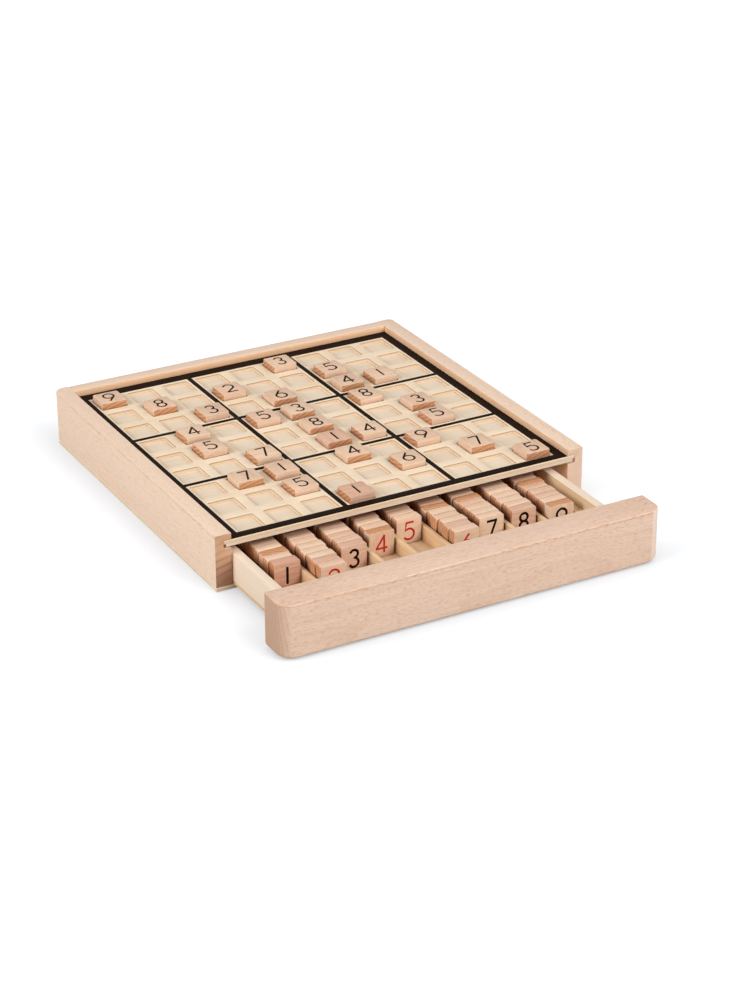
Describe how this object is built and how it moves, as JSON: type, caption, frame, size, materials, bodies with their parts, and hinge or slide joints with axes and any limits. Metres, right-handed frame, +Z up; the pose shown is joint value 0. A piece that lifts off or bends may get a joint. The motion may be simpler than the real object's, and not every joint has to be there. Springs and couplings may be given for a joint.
{
  "type": "sudoku board",
  "caption": "Wooden number puzzle board with square recesses for loose number tiles, and a drawer under it whose channels store the spare tiles.",
  "frame": {"origin": "centre of the case's underside, the face it stands on", "axes": "+X to the right seen from the drawer front, +Y to the back away from the drawer front, +Z up"},
  "size_m": [0.2294, 0.3001, 0.0324],
  "materials": {
    "beech": "clear satin",
    "plywood": "bare, sanded",
    "tile_beech": "clear satin"
  },
  "bodies": {
    "case": {"left_side": "beech", "right_side": "beech", "back_wall": "beech", "bottom_panel": "plywood", "board_base": "plywood", "board_grid": "plywood"},
    "drawer": {"drawer_front": "beech", "drawer_left_side": "beech", "drawer_right_side": "beech", "drawer_back": "beech", "drawer_bottom": "plywood", "left_edge_strip": "plywood", "right_edge_strip": "plywood", "divider_1": "plywood", "divider_2": "plywood", "divider_3": "plywood", "divider_4": "plywood", "divider_5": "plywood", "divider_6": "plywood", "divider_7": "plywood", "divider_8": "plywood"},
    "row_1": {"tile_row_1": "tile_beech"},
    "row_2": {"tile_row_2": "tile_beech"},
    "row_3": {"tile_row_3": "tile_beech"},
    "row_4": {"tile_row_4": "tile_beech"},
    "row_5": {"tile_row_5": "tile_beech"},
    "row_6": {"tile_row_6": "tile_beech"},
    "row_7": {"tile_row_7": "tile_beech"},
    "row_8": {"tile_row_8": "tile_beech"},
    "row_9": {"tile_row_9": "tile_beech"},
    "tile_9_row1_col1": {"tile_9_row1_col1": "tile_beech"},
    "tile_3_row1_col6": {"tile_3_row1_col6": "tile_beech"},
    "tile_8_row2_col2": {"tile_8_row2_col2": "tile_beech"},
    "tile_2_row2_col4": {"tile_2_row2_col4": "tile_beech"},
    "tile_5_row2_col7": {"tile_5_row2_col7": "tile_beech"},
    "tile_3_row3_col3": {"tile_3_row3_col3": "tile_beech"},
    "tile_6_row3_col5": {"tile_6_row3_col5": "tile_beech"},
    "tile_4_row3_col7": {"tile_4_row3_col7": "tile_beech"},
    "tile_1_row3_col8": {"tile_1_row3_col8": "tile_beech"},
    "tile_4_row4_col2": {"tile_4_row4_col2": "tile_beech"},
    "tile_5_row4_col4": {"tile_5_row4_col4": "tile_beech"},
    "tile_3_row4_col5": {"tile_3_row4_col5": "tile_beech"},
    "tile_8_row4_col7": {"tile_8_row4_col7": "tile_beech"},
    "tile_5_row5_col2": {"tile_5_row5_col2": "tile_beech"},
    "tile_8_row5_col5": {"tile_8_row5_col5": "tile_beech"},
    "tile_3_row5_col8": {"tile_3_row5_col8": "tile_beech"},
    "tile_7_row6_col3": {"tile_7_row6_col3": "tile_beech"},
    "tile_1_row6_col5": {"tile_1_row6_col5": "tile_beech"},
    "tile_4_row6_col6": {"tile_4_row6_col6": "tile_beech"},
    "tile_5_row6_col8": {"tile_5_row6_col8": "tile_beech"},
    "tile_7_row7_col2": {"tile_7_row7_col2": "tile_beech"},
    "tile_1_row7_col3": {"tile_1_row7_col3": "tile_beech"},
    "tile_4_row7_col5": {"tile_4_row7_col5": "tile_beech"},
    "tile_9_row7_col7": {"tile_9_row7_col7": "tile_beech"},
    "tile_5_row8_col3": {"tile_5_row8_col3": "tile_beech"},
    "tile_6_row8_col6": {"tile_6_row8_col6": "tile_beech"},
    "tile_7_row8_col8": {"tile_7_row8_col8": "tile_beech"},
    "tile_1_row9_col4": {"tile_1_row9_col4": "tile_beech"},
    "tile_5_row9_col9": {"tile_5_row9_col9": "tile_beech"}
  },
  "joints": [
    {"name": "drawer_slide", "type": "slide", "parent": "case", "child": "drawer", "axis": [0, -1, 0], "range_m": [-0.06325, 0.115]},
    {"name": "row_1_slide", "type": "slide", "parent": "drawer", "child": "row_1", "axis": [0, -1, 0], "range_m": [-0.07667, 0.04063]},
    {"name": "row_2_slide", "type": "slide", "parent": "drawer", "child": "row_2", "axis": [0, -1, 0], "range_m": [-0.07326, 0.02635]},
    {"name": "row_3_slide", "type": "slide", "parent": "drawer", "child": "row_3", "axis": [0, -1, 0], "range_m": [-0.07667, 0.04063]},
    {"name": "row_4_slide", "type": "slide", "parent": "drawer", "child": "row_4", "axis": [0, -1, 0], "range_m": [-0.06983, 0.04747]},
    {"name": "row_5_slide", "type": "slide", "parent": "drawer", "child": "row_5", "axis": [0, -1, 0], "range_m": [-0.07468, 0.05442]},
    {"name": "row_6_slide", "type": "slide", "parent": "drawer", "child": "row_6", "axis": [0, -1, 0], "range_m": [-0.07753, 0.02797]},
    {"name": "row_7_slide", "type": "slide", "parent": "drawer", "child": "row_7", "axis": [0, -1, 0], "range_m": [-0.07667, 0.03472]},
    {"name": "row_8_slide", "type": "slide", "parent": "drawer", "child": "row_8", "axis": [0, -1, 0], "range_m": [-0.07724, 0.03415]},
    {"name": "row_9_slide", "type": "slide", "parent": "drawer", "child": "row_9", "axis": [0, -1, 0], "range_m": [-0.07667, 0.02882]},
    {"name": "lift_tile_9_row1_col1", "type": "slide", "parent": "case", "child": "tile_9_row1_col1", "axis": [0, 0, 1], "range_m": [0, 0.03]},
    {"name": "lift_tile_3_row1_col6", "type": "slide", "parent": "case", "child": "tile_3_row1_col6", "axis": [0, 0, 1], "range_m": [0, 0.03]},
    {"name": "lift_tile_8_row2_col2", "type": "slide", "parent": "case", "child": "tile_8_row2_col2", "axis": [0, 0, 1], "range_m": [0, 0.03]},
    {"name": "lift_tile_2_row2_col4", "type": "slide", "parent": "case", "child": "tile_2_row2_col4", "axis": [0, 0, 1], "range_m": [0, 0.03]},
    {"name": "lift_tile_5_row2_col7", "type": "slide", "parent": "case", "child": "tile_5_row2_col7", "axis": [0, 0, 1], "range_m": [0, 0.03]},
    {"name": "lift_tile_3_row3_col3", "type": "slide", "parent": "case", "child": "tile_3_row3_col3", "axis": [0, 0, 1], "range_m": [0, 0.03]},
    {"name": "lift_tile_6_row3_col5", "type": "slide", "parent": "case", "child": "tile_6_row3_col5", "axis": [0, 0, 1], "range_m": [0, 0.03]},
    {"name": "lift_tile_4_row3_col7", "type": "slide", "parent": "case", "child": "tile_4_row3_col7", "axis": [0, 0, 1], "range_m": [0, 0.03]},
    {"name": "lift_tile_1_row3_col8", "type": "slide", "parent": "case", "child": "tile_1_row3_col8", "axis": [0, 0, 1], "range_m": [0, 0.03]},
    {"name": "lift_tile_4_row4_col2", "type": "slide", "parent": "case", "child": "tile_4_row4_col2", "axis": [0, 0, 1], "range_m": [0, 0.03]},
    {"name": "lift_tile_5_row4_col4", "type": "slide", "parent": "case", "child": "tile_5_row4_col4", "axis": [0, 0, 1], "range_m": [0, 0.03]},
    {"name": "lift_tile_3_row4_col5", "type": "slide", "parent": "case", "child": "tile_3_row4_col5", "axis": [0, 0, 1], "range_m": [0, 0.03]},
    {"name": "lift_tile_8_row4_col7", "type": "slide", "parent": "case", "child": "tile_8_row4_col7", "axis": [0, 0, 1], "range_m": [0, 0.03]},
    {"name": "lift_tile_5_row5_col2", "type": "slide", "parent": "case", "child": "tile_5_row5_col2", "axis": [0, 0, 1], "range_m": [0, 0.03]},
    {"name": "lift_tile_8_row5_col5", "type": "slide", "parent": "case", "child": "tile_8_row5_col5", "axis": [0, 0, 1], "range_m": [0, 0.03]},
    {"name": "lift_tile_3_row5_col8", "type": "slide", "parent": "case", "child": "tile_3_row5_col8", "axis": [0, 0, 1], "range_m": [0, 0.03]},
    {"name": "lift_tile_7_row6_col3", "type": "slide", "parent": "case", "child": "tile_7_row6_col3", "axis": [0, 0, 1], "range_m": [0, 0.03]},
    {"name": "lift_tile_1_row6_col5", "type": "slide", "parent": "case", "child": "tile_1_row6_col5", "axis": [0, 0, 1], "range_m": [0, 0.03]},
    {"name": "lift_tile_4_row6_col6", "type": "slide", "parent": "case", "child": "tile_4_row6_col6", "axis": [0, 0, 1], "range_m": [0, 0.03]},
    {"name": "lift_tile_5_row6_col8", "type": "slide", "parent": "case", "child": "tile_5_row6_col8", "axis": [0, 0, 1], "range_m": [0, 0.03]},
    {"name": "lift_tile_7_row7_col2", "type": "slide", "parent": "case", "child": "tile_7_row7_col2", "axis": [0, 0, 1], "range_m": [0, 0.03]},
    {"name": "lift_tile_1_row7_col3", "type": "slide", "parent": "case", "child": "tile_1_row7_col3", "axis": [0, 0, 1], "range_m": [0, 0.03]},
    {"name": "lift_tile_4_row7_col5", "type": "slide", "parent": "case", "child": "tile_4_row7_col5", "axis": [0, 0, 1], "range_m": [0, 0.03]},
    {"name": "lift_tile_9_row7_col7", "type": "slide", "parent": "case", "child": "tile_9_row7_col7", "axis": [0, 0, 1], "range_m": [0, 0.03]},
    {"name": "lift_tile_5_row8_col3", "type": "slide", "parent": "case", "child": "tile_5_row8_col3", "axis": [0, 0, 1], "range_m": [0, 0.03]},
    {"name": "lift_tile_6_row8_col6", "type": "slide", "parent": "case", "child": "tile_6_row8_col6", "axis": [0, 0, 1], "range_m": [0, 0.03]},
    {"name": "lift_tile_7_row8_col8", "type": "slide", "parent": "case", "child": "tile_7_row8_col8", "axis": [0, 0, 1], "range_m": [0, 0.03]},
    {"name": "lift_tile_1_row9_col4", "type": "slide", "parent": "case", "child": "tile_1_row9_col4", "axis": [0, 0, 1], "range_m": [0, 0.03]},
    {"name": "lift_tile_5_row9_col9", "type": "slide", "parent": "case", "child": "tile_5_row9_col9", "axis": [0, 0, 1], "range_m": [0, 0.03]}
  ]
}
